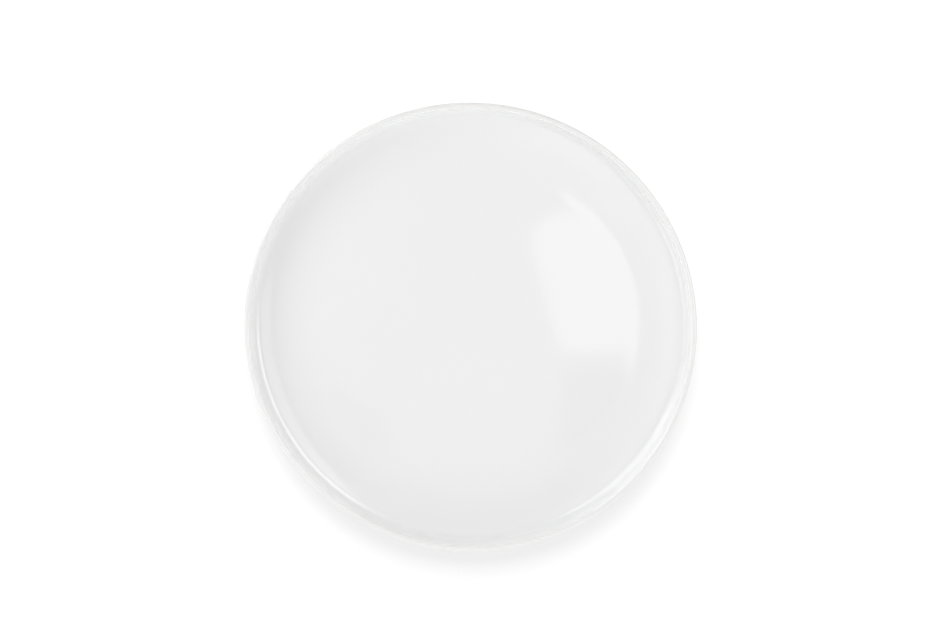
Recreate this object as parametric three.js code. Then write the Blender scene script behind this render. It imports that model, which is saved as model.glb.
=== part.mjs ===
// A flat dinner plate of glazed porcelain, lying on its foot ring.
// Millimetres and degrees. +Z is up, along the plate's axis, from the plane that the foot stands on.
import * as THREE from "three";

// The rim, measured over the glaze
const rimDiameter = 270;
const plateHeight = 24;
const lipThickness = 3.2;
const lipLand = 0.4; // flat that is left on top of the lip between its two round edges

// The wall of the clay body, with its drafts measured from upright
const innerDraft = 7;
const outerDraft = 9;
const wallFillet = 5; // inside, where the wall rises out of the well
const heelRadius = 9; // outside, where the wall turns under the plate

// The well of the clay body: a flat middle and a shoulder that rises gently to the wall
const wellThickness = 5;
const shoulderRun = 24;
const shoulderRise = 2.8;
const shoulderRadius = 230;

// The underside and the foot ring of the clay body
const undersideRise = 3.6; // from the foot out to the heel
const footSetback = 41; // from the rim in to the outer edge of the foot
const footWidth = 4.5;
const footHeight = 3.2;
const footDraft = 18;
const footEdgeRadius = 0.9;
const footRootRadius = 1.6;

// The glaze, which stops short of the bearing face of the foot
const glazeThickness = 0.3;
const glazeLine = 1.4; // height of the glaze's edge above the bearing face
const bondGap = 0.01; // between the facets of the clay and of the glaze on it

// The facets
const turnSteps = 72;
const chordError = 0.08; // how far a facet of a rounded corner may cut inside its arc

const draftOffset = (height, draft) => height * Math.tan(THREE.MathUtils.degToRad(draft));
const stop = (r, z, radius = 0) => ({ at: new THREE.Vector2(r, z), radius });

// Follows a run of the section from stop to stop, with the clay on its right, and rounds each corner between
// them with an arc. The run is moved to its left, away from the clay, by the outset.
function traceRun(stops, outset) {
  const edges = stops.slice(1).map(({ at }, i) => at.clone().sub(stops[i].at));
  const corners = stops.slice(1, -1).map(({ at, radius }, i) => {
    const turn = Math.atan2(edges[i].cross(edges[i + 1]), edges[i].dot(edges[i + 1]));
    const slope = Math.tan(Math.abs(turn) / 2);
    return { at, turn, slope, heading: edges[i].angle(), reach: radius * slope };
  });

  // Where two arcs need more of an edge than it has, they share it.
  const shares = edges.map((edge, i) => {
    const needed = (corners[i - 1]?.reach ?? 0) + (corners[i]?.reach ?? 0);
    return Math.min(1, edge.length() / needed);
  });

  const leftOf = (heading) => new THREE.Vector2(-Math.sin(heading), Math.cos(heading));
  const points = [stops[0].at.clone().addScaledVector(leftOf(edges[0].angle()), outset)];
  corners.forEach(({ at, turn, slope, heading, reach }, i) => {
    const limitedReach = reach * Math.min(shares[i], shares[i + 1]);
    const radius = limitedReach / slope;
    const side = Math.sign(turn); // a hollow corner has its centre on the left, a bulging one on the right
    const centre = at
      .clone()
      .addScaledVector(edges[i].clone().normalize(), -limitedReach)
      .addScaledVector(leftOf(heading), side * radius);
    const steps = Math.ceil(Math.abs(turn) / (2 * Math.acos(1 - chordError / radius)));
    for (let step = 0; step <= steps; step++) {
      const normal = leftOf(heading + (turn * step) / steps);
      points.push(centre.clone().addScaledVector(normal, outset - side * radius));
    }
  });
  points.push(stops.at(-1).at.clone().addScaledVector(leftOf(edges.at(-1).angle()), outset));
  return points;
}

// The section of the clay body, from the middle of the well out over the lip and back under the plate
const lipTop = plateHeight - glazeThickness;
const clayRimRadius = rimDiameter / 2 - glazeThickness;
const lipRadius = (lipThickness - 2 * glazeThickness - lipLand) / 2;
const lipOuterCentre = clayRimRadius - lipRadius;
const lipInnerCentre = lipOuterCentre - lipLand;
const lipInnerCorner = lipInnerCentre - draftOffset(lipRadius, 45 - innerDraft / 2);
const lipOuterCorner = lipOuterCentre + draftOffset(lipRadius, 45 + outerDraft / 2);

const wellTop = footHeight + wellThickness;
const wallBase = wellTop + shoulderRise;
const wallBaseRadius = lipInnerCorner - draftOffset(lipTop - wallBase, innerDraft);
const heelBase = footHeight + undersideRise;
const heelCorner = lipOuterCorner - draftOffset(lipTop - heelBase, outerDraft);

const footOuterRadius = rimDiameter / 2 - footSetback;
const footInnerRadius = footOuterRadius - footWidth;
const footFlare = draftOffset(footHeight, footDraft);
const glazeFlare = draftOffset(glazeLine, footDraft);
const outerGlazeEdge = stop(footOuterRadius + glazeFlare, glazeLine);
const innerGlazeEdge = stop(footInnerRadius - glazeFlare, glazeLine);

const coatedRun = [
  stop(0, wellTop),
  stop(wallBaseRadius - shoulderRun, wellTop, shoulderRadius),
  stop(wallBaseRadius, wallBase, wallFillet),
  stop(lipInnerCorner, lipTop, lipRadius),
  stop(lipOuterCorner, lipTop, lipRadius),
  stop(heelCorner, heelBase, heelRadius),
  stop(footOuterRadius + footFlare, footHeight, footRootRadius),
  outerGlazeEdge,
];
const bareFootRun = [
  outerGlazeEdge,
  stop(footOuterRadius, 0, footEdgeRadius),
  stop(footInnerRadius, 0, footEdgeRadius),
  innerGlazeEdge,
];
const recessRun = [
  innerGlazeEdge,
  stop(footInnerRadius - footFlare, footHeight, footRootRadius),
  stop(0, footHeight),
];

const clayProfile = [
  ...traceRun(coatedRun, 0),
  ...traceRun(bareFootRun, 0).slice(1),
  ...traceRun(recessRun, 0).slice(1),
];
// A coat lies between the clay and the same run moved out by the thickness of the glaze. Its profile starts
// and ends on the axis.
const coatProfile = [...traceRun(coatedRun, glazeThickness), ...traceRun(coatedRun, bondGap).reverse()];
const recessProfile = [...traceRun(recessRun, bondGap).reverse(), ...traceRun(recessRun, glazeThickness)];

const biscuit = new THREE.MeshStandardMaterial({ color: "#e8e4dc", roughness: 0.85, metalness: 0 });
const coatGlaze = new THREE.MeshStandardMaterial({ color: "#efefee", roughness: 0.12, metalness: 0 });
const recessGlaze = coatGlaze.clone();

function turnedPiece(name, profile, material) {
  const geometry = new THREE.LatheGeometry(profile.toReversed(), turnSteps); // bottom up, to face outwards
  geometry.rotateX(Math.PI / 2); // a lathe turns about Y, and the plate's axis is Z
  const piece = new THREE.Mesh(geometry, material);
  piece.name = name;
  return piece;
}

const plate = new THREE.Group();
plate.add(
  turnedPiece("porcelain_body", clayProfile, biscuit),
  turnedPiece("glaze_coat", coatProfile, coatGlaze),
  turnedPiece("foot_recess_glaze", recessProfile, recessGlaze),
);

export default plate;
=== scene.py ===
# The looks of a flat porcelain plate, made around its solids. Metres and degrees, in the plate's own frame:
# +Z is up, along the plate's axis, from the plane that the foot ring stands on.
import math

import bpy
from mathutils import Matrix, Vector


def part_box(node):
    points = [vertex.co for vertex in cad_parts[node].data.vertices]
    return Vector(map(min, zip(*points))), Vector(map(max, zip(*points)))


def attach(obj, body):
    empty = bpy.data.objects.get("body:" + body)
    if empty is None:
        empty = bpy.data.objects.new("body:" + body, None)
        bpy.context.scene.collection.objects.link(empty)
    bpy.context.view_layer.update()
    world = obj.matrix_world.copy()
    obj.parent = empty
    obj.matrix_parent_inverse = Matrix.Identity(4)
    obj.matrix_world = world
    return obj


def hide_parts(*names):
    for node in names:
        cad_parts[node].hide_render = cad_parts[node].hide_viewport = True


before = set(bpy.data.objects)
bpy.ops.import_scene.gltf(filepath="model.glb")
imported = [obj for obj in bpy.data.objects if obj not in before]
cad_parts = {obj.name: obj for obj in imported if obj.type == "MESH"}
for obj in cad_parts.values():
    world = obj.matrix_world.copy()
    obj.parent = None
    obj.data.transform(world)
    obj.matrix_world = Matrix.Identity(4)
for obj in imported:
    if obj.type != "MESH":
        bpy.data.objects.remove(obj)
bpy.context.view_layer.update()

MM = 0.001
scene = bpy.context.scene

# The outer sizes come from the solids.
clay_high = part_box("porcelain_body")[1]
coat_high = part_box("glaze_coat")[1]
lip_top = clay_high.z
glaze_thickness = coat_high.z - clay_high.z
clay_rim = coat_high.x - glaze_thickness

# The section of the clay, with its drafts measured from upright
LIP_THICKNESS = 3.2 * MM  # over the glaze
LIP_LAND = 0.4 * MM  # flat that is left on top of the lip between its two round edges
INNER_DRAFT = 7
OUTER_DRAFT = 9
WALL_FILLET = 5 * MM
HEEL_RADIUS = 9 * MM
WELL_THICKNESS = 5 * MM
SHOULDER_RUN = 24 * MM
SHOULDER_RISE = 2.8 * MM
SHOULDER_RADIUS = 230 * MM
UNDERSIDE_RISE = 3.6 * MM
FOOT_SETBACK = 41 * MM  # from the glazed rim in to the outer edge of the foot
FOOT_WIDTH = 4.5 * MM
FOOT_HEIGHT = 3.2 * MM
FOOT_DRAFT = 18
FOOT_EDGE_RADIUS = 0.9 * MM
FOOT_ROOT_RADIUS = 1.6 * MM

# The glaze
GLAZE_LINE = 1.4 * MM  # height of the glaze's edge above the bearing face of the foot
GLAZE_EDGE_RADIUS = 0.12 * MM  # molten glaze draws back to a round edge
BOND_GAP = 0.01 * MM  # between the clay and the glaze on it

# The fineness of the turned meshes
TURN_STEPS = 360
CORNER_STEPS = 14
FLAT_MARGIN = 1.1  # from the shoulder's corner in to the last ring of the flat well, in reaches of its arc
WELD_DISTANCE = 0.001 * MM

# The surface of the glaze
GLAZE_DRIFT = 70 * MM  # patches where the white drifts
GLAZE_CLOUDING = 9 * MM  # patches where the gloss drifts
GLAZE_ROUGHNESS = (0.035, 0.06)
GLAZE_SWELL = 45 * MM  # slow waves
GLAZE_SWELL_DEPTH = 0.004 * MM
GLAZE_PEEL = 5 * MM  # orange peel, drawn coarser than its real 1 or 2 mm so that it shows
GLAZE_PEEL_DEPTH = 0.0003 * MM
GLAZE_POOL_REACH = 6 * MM  # from the corner where the wall rises
GLAZE_POOL_SHARE = 0.3
LIP_DULLNESS = 0.14  # roughness that thin glaze adds at the lip
GLAZE_IOR = 1.5

# The surface of the bare foot
BISCUIT_GRAIN = 0.5 * MM  # drawn coarser than the real grit of 0.05 mm so that it shows
BISCUIT_GRAIN_DEPTH = 0.03 * MM
BISCUIT_ROUGHNESS = (0.92, 0.72)  # between the rings and on them
GRINDING_RING = 0.6 * MM
GRINDING_DEPTH = 0.01 * MM
BISCUIT_IOR = 1.5

# The sockets of a colour mix, whose names are shared with its other kinds
MIX_A = 6
MIX_B = 7
MIX_RESULT = 2

# The camera, and where it stands as seen from the plate
LENS = 85 * MM
SENSOR_WIDTH = 36 * MM
CAMERA_DISTANCE = 1347 * MM
CAMERA_LEAN_X = 2  # from straight above towards +X
CAMERA_LEAN_Y = 8  # and towards +Y
CAMERA_AIM = Vector((2.7 * MM, 6.5 * MM, 12 * MM))

# The floor and the white around it
WHITE = (1, 1, 1, 1)
FLOOR_SIZE = 8
FLOOR_CLEARANCE = 0.05 * MM  # under the foot
FLOOR_SHADOW_SHARE = 0.25  # of the floor's look that comes from the light on it, and so shows the shadow
FLOOR_FADE = (0.3, 0.9)  # distances from the plate between which the floor fades to plain white
FILL_STRENGTH = 0.431  # of the world as a light, where 1 is the white that the eye gets

# The lamp that lights the floor alone: bearing from +X towards +Y, tilt from straight above, radiance
SHADOW_LIGHT = (92, 40, 12.5)
SHADOW_LIGHT_DISTANCE = 6
SHADOW_LIGHT_SIZE = (3.6, 3.0)

# Lamps on a dome about the plate, which light it and don't show in the glaze: bearing, tilt, radiance
DOME_RADIUS = 1.5
SOFT_LIGHT_SIZE = (0.8, 0.7)
SOFT_LIGHTS = {
    "high_right_light": (0, 32, 2.15),
    "upper_left_light": (135, 58, 2.55),
    "left_light": (180, 58, 1.45),
    "lower_left_light": (225, 58, 1.15),
    "right_light": (335, 58, 0.6),
    "low_right_light": (335, 76, 2.5),
    "low_top_light": (105, 76, 1.5),
    "low_left_light": (225, 76, 1.5),
    "front_light": (270, 58, 0.6),
    "low_front_light": (270, 76, 1.2),
}

# Strips on the same dome, which show in the fillet and on the lip: bearing, tilt, width, depth, radiance
STRIP_CORE = 0.5  # share of a strip that glows fully, before it fades into the white around it
MIRRORED_STRIPS = {
    "right_strip": (20, 42, 1.8, 1.5, 5.6),
    "left_strip": (148, 42, 1.3, 0.9, 6),
    "low_left_strip": (154, 80, 1.5, 0.5, 8.5),
    "far_left_strip": (200, 50, 1.2, 1.4, 2.8),
}

# Panels straight above the plate, which show in the well: height, radiance, outline in millimetres
MIRRORED_PANELS = {
    "ceiling_panel": (1.6, 1.55, [
        (-340, 30), (220, 30), (220, -285), (62, -285),
        (62, -440), (-165, -440), (-165, -358), (-335, -250),
    ]),
    "softbox": (1.58, 3.05, [
        (19, -116), (26, -98), (41, -84), (62, -76), (88, -78), (116, -98),
        (145, -134), (165, -180), (180, -252), (172, -262), (64, -262), (58, -252),
    ]),
}


def linear(hex_colour):
    """Turns an sRGB hex colour into the linear colour that a shader takes."""
    shares = [int(hex_colour[i:i + 2], 16) / 255 for i in (1, 3, 5)]
    return (*(s / 12.92 if s <= 0.04045 else ((s + 0.055) / 1.055) ** 2.4 for s in shares), 1)


def add_node(tree, kind, inputs=None, **settings):
    """Adds a node with its settings, and gives each input a value or a link from another node's socket."""
    node = tree.nodes.new(kind)
    for name, value in settings.items():
        setattr(node, name, value)
    for key, value in (inputs or {}).items():
        if isinstance(value, bpy.types.NodeSocket):
            tree.links.new(value, node.inputs[key])
        else:
            node.inputs[key].default_value = value
    return node


def draft_offset(height, draft):
    return height * math.tan(math.radians(draft))


# The corners of the clay's section are (radius from the axis, height, rounding). The runs go from the middle
# of the well out over the lip and back under the plate, with the clay on their right.
lip_radius = (LIP_THICKNESS - 2 * glaze_thickness - LIP_LAND) / 2
lip_outer_centre = clay_rim - lip_radius
lip_inner_centre = lip_outer_centre - LIP_LAND
lip_inner_corner = lip_inner_centre - draft_offset(lip_radius, 45 - INNER_DRAFT / 2)
lip_outer_corner = lip_outer_centre + draft_offset(lip_radius, 45 + OUTER_DRAFT / 2)

well_top = FOOT_HEIGHT + WELL_THICKNESS
wall_base = well_top + SHOULDER_RISE
wall_base_radius = lip_inner_corner - draft_offset(lip_top - wall_base, INNER_DRAFT)
shoulder_start = wall_base_radius - SHOULDER_RUN
shoulder_reach = SHOULDER_RADIUS * math.tan(math.atan(SHOULDER_RISE / SHOULDER_RUN) / 2)
flat_radius = shoulder_start - FLAT_MARGIN * shoulder_reach

heel_base = FOOT_HEIGHT + UNDERSIDE_RISE
heel_corner = lip_outer_corner - draft_offset(lip_top - heel_base, OUTER_DRAFT)
foot_outer = clay_rim + glaze_thickness - FOOT_SETBACK
foot_inner = foot_outer - FOOT_WIDTH
foot_flare = draft_offset(FOOT_HEIGHT, FOOT_DRAFT)
glaze_flare = draft_offset(GLAZE_LINE, FOOT_DRAFT)
outer_glaze_edge = (foot_outer + glaze_flare, GLAZE_LINE, 0)
inner_glaze_edge = (foot_inner - glaze_flare, GLAZE_LINE, 0)

coated_run = [
    (0, well_top, 0),
    (flat_radius, well_top, 0),
    (shoulder_start, well_top, SHOULDER_RADIUS),
    (wall_base_radius, wall_base, WALL_FILLET),
    (lip_inner_corner, lip_top, lip_radius),
    (lip_outer_corner, lip_top, lip_radius),
    (heel_corner, heel_base, HEEL_RADIUS),
    (foot_outer + foot_flare, FOOT_HEIGHT, FOOT_ROOT_RADIUS),
    outer_glaze_edge,
]
bare_foot_run = [
    outer_glaze_edge,
    (foot_outer, 0, FOOT_EDGE_RADIUS),
    (foot_inner, 0, FOOT_EDGE_RADIUS),
    inner_glaze_edge,
]
recess_run = [
    inner_glaze_edge,
    (foot_inner - foot_flare, FOOT_HEIGHT, FOOT_ROOT_RADIUS),
    (0, FOOT_HEIGHT, 0),
]


def move_out(run, distance):
    """Moves a run away from the clay, so that its bulging corners get rounder and its hollow ones tighter."""
    points = [Vector(corner[:2]) for corner in run]
    roundings = [corner[2] for corner in run]
    edges = [(end - start).normalized() for start, end in zip(points, points[1:])]
    lefts = [Vector((-edge.y, edge.x)) for edge in edges]
    moved = []
    for point, rounding, before, after in zip(points, roundings, lefts[:1] + lefts, lefts + lefts[-1:]):
        place = point + (before + after) * (distance / (1 + before.dot(after)))
        if rounding:
            rounding -= math.copysign(distance, before.cross(after))
        moved.append((*place, rounding))
    return moved


def rounded_end(run, rounding):
    return [*run[:-1], (*run[-1][:2], rounding)]


def rounded_start(run, rounding):
    return [(*run[0][:2], rounding), *run[1:]]


clay_section = coated_run + bare_foot_run[1:] + recess_run[1:]
coat_section = (
    rounded_end(move_out(coated_run, glaze_thickness), GLAZE_EDGE_RADIUS)
    + move_out(coated_run, BOND_GAP)[::-1]
)
recess_section = (
    move_out(recess_run, BOND_GAP)[::-1]
    + rounded_start(move_out(recess_run, glaze_thickness), GLAZE_EDGE_RADIUS)
)


def turning_tree():
    """Rounds the corners of a section and turns it about the axis, as a jigger wheel does with the clay."""
    tree = bpy.data.node_groups.new("turned_on_the_wheel", "GeometryNodeTree")
    for name, kind in (
        ("Section", "NodeSocketGeometry"),
        ("Wheel Radius", "NodeSocketFloat"),
        ("Turn Steps", "NodeSocketInt"),
        ("Corner Steps", "NodeSocketInt"),
        ("Weld Distance", "NodeSocketFloat"),
        ("Finish", "NodeSocketMaterial"),
    ):
        tree.interface.new_socket(name, in_out="INPUT", socket_type=kind)
    tree.interface.new_socket("Piece", in_out="OUTPUT", socket_type="NodeSocketGeometry")
    given = add_node(tree, "NodeGroupInput").outputs
    rounding = add_node(tree, "GeometryNodeInputRadius")
    rounded = add_node(tree, "GeometryNodeFilletCurve", {
        "Curve": given["Section"],
        "Count": given["Corner Steps"],
        "Radius": rounding.outputs["Radius"],
        "Limit Radius": True,
    }, mode="POLY")
    wheel = add_node(tree, "GeometryNodeCurvePrimitiveCircle", {
        "Resolution": given["Turn Steps"],
        "Radius": given["Wheel Radius"],
    })
    turned = add_node(tree, "GeometryNodeCurveToMesh", {
        "Curve": wheel.outputs["Curve"],
        "Profile Curve": rounded.outputs["Curve"],
    })
    welded = add_node(tree, "GeometryNodeMergeByDistance", {
        "Geometry": turned.outputs["Mesh"],
        "Distance": given["Weld Distance"],
    })
    smooth = add_node(tree, "GeometryNodeSetShadeSmooth", {"Geometry": welded.outputs["Geometry"]})
    real = add_node(tree, "GeometryNodeRealizeInstances", {"Geometry": smooth.outputs["Geometry"]})
    finished = add_node(tree, "GeometryNodeSetMaterial", {
        "Geometry": real.outputs["Geometry"],
        "Material": given["Finish"],
    })
    add_node(tree, "NodeGroupOutput", {"Piece": finished.outputs["Geometry"]})
    return tree


def turned_piece(name, section, tree, finish):
    """Makes a piece by turning its section. The section is drawn from the wheel's circle in, with heights
    downwards, because that is how the circle carries a profile round."""
    wheel_radius = clay_rim
    drawing = bpy.data.curves.new(name + "_section", "CURVE")
    drawing.dimensions = "3D"
    line = drawing.splines.new("POLY")
    line.points.add(len(section) - 1)
    for point, (radius, height, rounding) in zip(line.points, section):
        point.co = (radius - wheel_radius, -height, 0, 1)
        point.radius = rounding
    blank = bpy.data.objects.new(name + "_section", drawing)
    scene.collection.objects.link(blank)
    turning = blank.modifiers.new("turning", "NODES")
    turning.node_group = tree
    settings = {
        "Wheel Radius": wheel_radius,
        "Turn Steps": TURN_STEPS,
        "Corner Steps": CORNER_STEPS,
        "Weld Distance": WELD_DISTANCE,
        "Finish": finish,
    }
    for item in tree.interface.items_tree:
        if item.name in settings:
            turning[item.identifier] = settings[item.name]
    mesh = bpy.data.meshes.new_from_object(blank.evaluated_get(bpy.context.evaluated_depsgraph_get()))
    bpy.data.objects.remove(blank)
    piece = bpy.data.objects.new(name, mesh)
    scene.collection.objects.link(piece)
    return piece


def axis_distance(tree, place):
    """How far a point lies from the plate's axis."""
    across = add_node(tree, "ShaderNodeVectorMath", {0: place, 1: (1, 1, 0)}, operation="MULTIPLY")
    return add_node(tree, "ShaderNodeVectorMath", {0: across.outputs[0]}, operation="LENGTH").outputs["Value"]


def glazed_porcelain():
    """Hard-paste porcelain under a clear feldspar glaze, dipped and fired glossy. The eye gets a cool, even
    white that mirrors the lamps softly, with edges that waver because molten glaze never settles quite flat.
    The glass pools where the wall rises, which looks a little bluer, and runs thin over the lip, which leaves
    it duller and lets the clay warm it."""
    material = bpy.data.materials.new("glossy_glazed_porcelain")
    material.use_nodes = True
    tree = material.node_tree
    shader = tree.nodes["Principled BSDF"]
    place = add_node(tree, "ShaderNodeTexCoord").outputs["Object"]

    # How far a point lies from the corner where the wall rises, and how near to the top of the lip
    height = add_node(tree, "ShaderNodeSeparateXYZ", {0: place}).outputs["Z"]
    in_section = add_node(tree, "ShaderNodeCombineXYZ", {"X": axis_distance(tree, place), "Y": height})
    from_corner = add_node(tree, "ShaderNodeVectorMath", {
        0: in_section.outputs[0],
        1: (wall_base_radius, wall_base, 0),
    }, operation="DISTANCE")
    pooled = add_node(tree, "ShaderNodeMapRange", {
        "Value": from_corner.outputs["Value"],
        "From Min": glaze_thickness,
        "From Max": GLAZE_POOL_REACH,
        "To Min": GLAZE_POOL_SHARE,
        "To Max": 0,
    }, interpolation_type="SMOOTHSTEP")
    thinned = add_node(tree, "ShaderNodeMapRange", {
        "Value": height,
        "From Min": lip_top - LIP_THICKNESS,
        "From Max": lip_top,
        "To Min": 0,
        "To Max": 1,
    }, interpolation_type="SMOOTHSTEP")

    drift = add_node(tree, "ShaderNodeTexNoise", {"Vector": place, "Scale": 1 / GLAZE_DRIFT, "Detail": 2})
    even = add_node(tree, "ShaderNodeMix", {
        "Factor": drift.outputs[0],
        MIX_A: linear("#F3F3F3"),
        MIX_B: linear("#F5F5F5"),
    }, data_type="RGBA")
    cooler = add_node(tree, "ShaderNodeMix", {
        "Factor": pooled.outputs[0],
        MIX_A: even.outputs[MIX_RESULT],
        MIX_B: linear("#F0F1F2"),
    }, data_type="RGBA")
    warmer = add_node(tree, "ShaderNodeMix", {
        "Factor": thinned.outputs[0],
        MIX_A: cooler.outputs[MIX_RESULT],
        MIX_B: linear("#F4F4F3"),
    }, data_type="RGBA")

    clouds = add_node(tree, "ShaderNodeTexNoise", {"Vector": place, "Scale": 1 / GLAZE_CLOUDING, "Detail": 3})
    roughness = add_node(tree, "ShaderNodeMapRange", {
        "Value": clouds.outputs[0],
        "To Min": GLAZE_ROUGHNESS[0],
        "To Max": GLAZE_ROUGHNESS[1],
    })
    duller = add_node(tree, "ShaderNodeMath", {
        0: thinned.outputs[0],
        1: LIP_DULLNESS,
        2: roughness.outputs[0],
    }, operation="MULTIPLY_ADD")

    swell = add_node(tree, "ShaderNodeTexNoise", {"Vector": place, "Scale": 1 / GLAZE_SWELL, "Detail": 0})
    swollen = add_node(tree, "ShaderNodeBump", {"Height": swell.outputs[0], "Distance": GLAZE_SWELL_DEPTH})
    peel = add_node(tree, "ShaderNodeTexNoise", {"Vector": place, "Scale": 1 / GLAZE_PEEL, "Detail": 1})
    peeled = add_node(tree, "ShaderNodeBump", {
        "Height": peel.outputs[0],
        "Distance": GLAZE_PEEL_DEPTH,
        "Normal": swollen.outputs[0],
    })

    tree.links.new(warmer.outputs[MIX_RESULT], shader.inputs["Base Color"])
    tree.links.new(duller.outputs[0], shader.inputs["Roughness"])
    tree.links.new(peeled.outputs[0], shader.inputs["Normal"])
    shader.inputs["IOR"].default_value = GLAZE_IOR
    return material


def ground_biscuit():
    """Bare porcelain, wiped free of glaze before firing and then ground smooth on a wheel. The eye gets a
    dry, warmer white with a sandy grain and faint rings that the grinding left."""
    material = bpy.data.materials.new("ground_biscuit_porcelain")
    material.use_nodes = True
    tree = material.node_tree
    shader = tree.nodes["Principled BSDF"]
    place = add_node(tree, "ShaderNodeTexCoord").outputs["Object"]

    rings = add_node(tree, "ShaderNodeTexNoise", {
        "W": axis_distance(tree, place),
        "Scale": 1 / GRINDING_RING,
        "Detail": 2,
    }, noise_dimensions="1D")
    grain = add_node(tree, "ShaderNodeTexNoise", {"Vector": place, "Scale": 1 / BISCUIT_GRAIN, "Detail": 3})
    worn = add_node(tree, "ShaderNodeMath", {0: rings.outputs[0], 1: grain.outputs[0]}, operation="MULTIPLY")
    colour = add_node(tree, "ShaderNodeMix", {
        "Factor": worn.outputs[0],
        MIX_A: linear("#DFD9CE"),
        MIX_B: linear("#F3F0EA"),
    }, data_type="RGBA")
    roughness = add_node(tree, "ShaderNodeMapRange", {
        "Value": rings.outputs[0],
        "To Min": BISCUIT_ROUGHNESS[0],
        "To Max": BISCUIT_ROUGHNESS[1],
    })
    sandy = add_node(tree, "ShaderNodeBump", {"Height": grain.outputs[0], "Distance": BISCUIT_GRAIN_DEPTH})
    scored = add_node(tree, "ShaderNodeBump", {
        "Height": rings.outputs[0],
        "Distance": GRINDING_DEPTH,
        "Normal": sandy.outputs[0],
    })

    tree.links.new(colour.outputs[MIX_RESULT], shader.inputs["Base Color"])
    tree.links.new(roughness.outputs[0], shader.inputs["Roughness"])
    tree.links.new(scored.outputs[0], shader.inputs["Normal"])
    shader.inputs["IOR"].default_value = BISCUIT_IOR
    return material


def cleared_tree(owner):
    """Gives a material or a world an empty node tree."""
    owner.use_nodes = True
    owner.node_tree.nodes.clear()
    return owner.node_tree


def white_for_the_eye(tree):
    """Is 1 where the camera looks, directly or in a mirror image, and 0 where light is gathered."""
    path = add_node(tree, "ShaderNodeLightPath").outputs
    mirrored = add_node(tree, "ShaderNodeMath", {
        0: path["Is Glossy Ray"],
        1: path["Is Transmission Ray"],
    }, operation="MAXIMUM")
    seen = add_node(tree, "ShaderNodeMath", {
        0: path["Is Camera Ray"],
        1: mirrored.outputs[0],
    }, operation="MAXIMUM")
    return seen.outputs[0]


def studio_floor():
    """Matt paper, rolled out flat. It is grey for the light that it throws back at the plate and white to the
    eye, which gets the plate's shadow near the plate and plain white further off."""
    material = bpy.data.materials.new("matt_white_floor")
    tree = cleared_tree(material)
    eye = white_for_the_eye(tree)
    paper = add_node(tree, "ShaderNodeMix", {
        "Factor": eye,
        MIX_A: linear("#B3B3B3"),
        MIX_B: linear("#FCFCFC"),
    }, data_type="RGBA")
    matt = add_node(tree, "ShaderNodeBsdfDiffuse", {"Color": paper.outputs[MIX_RESULT]})
    white = add_node(tree, "ShaderNodeEmission", {"Color": WHITE, "Strength": 1})
    place = add_node(tree, "ShaderNodeTexCoord").outputs["Object"]
    distance = add_node(tree, "ShaderNodeVectorMath", {0: place}, operation="LENGTH")
    share = add_node(tree, "ShaderNodeMapRange", {
        "Value": distance.outputs["Value"],
        "From Min": FLOOR_FADE[0],
        "From Max": FLOOR_FADE[1],
        "To Min": 1 - FLOOR_SHADOW_SHARE,
        "To Max": 1,
    })
    whiteness = add_node(tree, "ShaderNodeMath", {0: eye, 1: share.outputs[0]}, operation="MULTIPLY")
    look = add_node(tree, "ShaderNodeMixShader", {
        0: whiteness.outputs[0],
        1: matt.outputs[0],
        2: white.outputs[0],
    })
    add_node(tree, "ShaderNodeOutputMaterial", {"Surface": look.outputs[0]})
    return material


def studio_world():
    """White to the eye, and a weaker fill as a light."""
    world = bpy.data.worlds.new("studio")
    tree = cleared_tree(world)
    strength = add_node(tree, "ShaderNodeMapRange", {
        "Value": white_for_the_eye(tree),
        "To Min": FILL_STRENGTH,
        "To Max": 1,
    })
    back = add_node(tree, "ShaderNodeBackground", {"Color": WHITE, "Strength": strength.outputs[0]})
    add_node(tree, "ShaderNodeOutputWorld", {"Surface": back.outputs[0]})
    return world


def lamp(name, place, width, depth, radiance, lit):
    """A soft rectangular lamp, aimed at the plate, for the things that it lights. Its radiance is 1 where a
    white card in its place would look white."""
    data = bpy.data.lights.new(name, "AREA")
    data.shape = "RECTANGLE"
    data.size = width
    data.size_y = depth
    data.energy = radiance * math.pi * width * depth
    made = bpy.data.objects.new(name, data)
    made.matrix_world = Matrix.Translation(place) @ place.to_track_quat("Z", "Y").to_matrix().to_4x4()
    made.visible_glossy = False
    made.light_linking.receiver_collection = lit
    scene.collection.objects.link(made)


def card(name, corners, faces, glow, radiance):
    """A glowing card that shows in the glaze and lights nothing. Where its glow is 0 it is as white as the
    world."""
    material = bpy.data.materials.new(name)
    tree = cleared_tree(material)
    share = add_node(tree, "ShaderNodeAttribute", attribute_name="glow")
    strength = add_node(tree, "ShaderNodeMapRange", {
        "Value": share.outputs["Fac"],
        "To Min": 1,
        "To Max": radiance,
    })
    light = add_node(tree, "ShaderNodeEmission", {"Color": WHITE, "Strength": strength.outputs[0]})
    add_node(tree, "ShaderNodeOutputMaterial", {"Surface": light.outputs[0]})
    material.cycles.emission_sampling = "NONE"
    mesh = bpy.data.meshes.new(name)
    mesh.from_pydata(corners, [], faces)
    mesh.attributes.new("glow", "FLOAT", "POINT").data.foreach_set("value", glow)
    mesh.materials.append(material)
    made = bpy.data.objects.new(name, mesh)
    made.visible_camera = False
    made.visible_diffuse = False
    made.visible_transmission = False
    made.visible_shadow = False
    scene.collection.objects.link(made)


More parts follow.
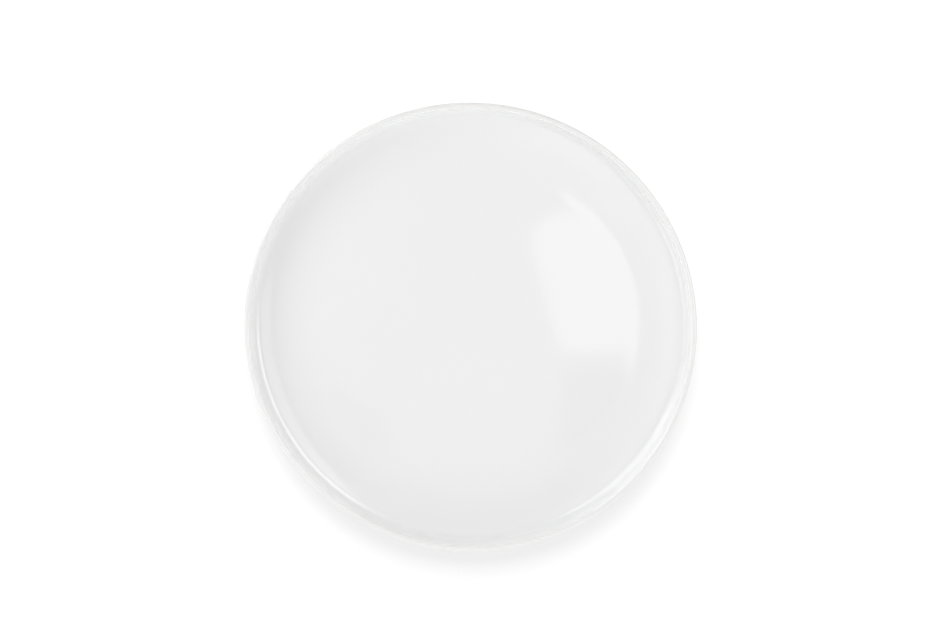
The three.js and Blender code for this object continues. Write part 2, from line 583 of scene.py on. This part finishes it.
def strip(name, place, width, depth, radiance):
    """A rectangular card that faces the plate and fades out towards its edges."""
    turn = place.to_track_quat("Z", "Y")
    stops = (-1, -STRIP_CORE, STRIP_CORE, 1)
    row = len(stops)
    grid = [(x, y) for y in stops for x in stops]
    corners = [place + turn @ Vector((x * width / 2, y * depth / 2, 0)) for x, y in grid]
    glow = [1.0 if max(abs(x), abs(y)) < 1 else 0.0 for x, y in grid]
    starts = [i for i, (x, y) in enumerate(grid) if x < 1 and y < 1]
    faces = [(i, i + 1, i + 1 + row, i + row) for i in starts]
    card(name, corners, faces, glow, radiance)


def panel(name, height, outline, radiance):
    """A level card that glows evenly."""
    corners = [(x * MM, y * MM, height) for x, y in outline]
    card(name, corners, [range(len(corners))], [1.0] * len(corners), radiance)


def group(name, members):
    made = bpy.data.collections.new(name)
    for member in members:
        made.objects.link(member)
    return made


def on_the_dome(bearing, tilt, distance=DOME_RADIUS):
    """A place about the plate, at a bearing from +X towards +Y and a tilt from straight above."""
    across = math.sin(math.radians(tilt))
    return distance * Vector((
        across * math.cos(math.radians(bearing)),
        across * math.sin(math.radians(bearing)),
        math.cos(math.radians(tilt)),
    ))


def photo_camera():
    data = bpy.data.cameras.new("photo_camera")
    data.lens_unit = "MILLIMETERS"
    data.lens = LENS / MM
    data.sensor_fit = "HORIZONTAL"
    data.sensor_width = SENSOR_WIDTH / MM
    camera = bpy.data.objects.new("photo_camera", data)
    lean_x, lean_y = (math.tan(math.radians(lean)) for lean in (CAMERA_LEAN_X, CAMERA_LEAN_Y))
    back = Vector((lean_x, lean_y, 1)).normalized()
    right = Vector((0, 1, 0)).cross(back).normalized()
    turn = Matrix((right, back.cross(right), back)).transposed()
    camera.matrix_world = Matrix.Translation(CAMERA_AIM + back * CAMERA_DISTANCE) @ turn.to_4x4()
    scene.collection.objects.link(camera)
    return camera


# The plate
wheel = turning_tree()
glaze = glazed_porcelain()
biscuit = ground_biscuit()
clay = turned_piece("clay_body", clay_section, wheel, biscuit)
coat = turned_piece("outer_glaze", coat_section, wheel, glaze)
recess = turned_piece("recess_glaze", recess_section, wheel, glaze)
for piece, node, slot in (
    (clay, "porcelain_body", "biscuit"),
    (coat, "glaze_coat", "glaze"),
    (recess, "foot_recess_glaze", "glaze"),
):
    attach(piece, "root")
    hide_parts(node)

# The studio
bpy.ops.mesh.primitive_plane_add(size=FLOOR_SIZE, location=(0, 0, -FLOOR_CLEARANCE))
floor = bpy.context.object
floor.name = "studio_floor"
floor.data.materials.append(studio_floor())

scene.world = studio_world()
plate_group = group("plate", (clay, coat, recess))
floor_group = group("floor", (floor,))
for name, (bearing, tilt, radiance) in SOFT_LIGHTS.items():
    lamp(name, on_the_dome(bearing, tilt), *SOFT_LIGHT_SIZE, radiance, plate_group)
bearing, tilt, radiance = SHADOW_LIGHT
shadow_place = on_the_dome(bearing, tilt, SHADOW_LIGHT_DISTANCE)
lamp("shadow_light", shadow_place, *SHADOW_LIGHT_SIZE, radiance, floor_group)
for name, (bearing, tilt, width, depth, radiance) in MIRRORED_STRIPS.items():
    strip(name, on_the_dome(bearing, tilt), width, depth, radiance)
for name, (height, radiance, outline) in MIRRORED_PANELS.items():
    panel(name, height, outline, radiance)
scene.camera = photo_camera()
scene.view_settings.view_transform = "Standard"
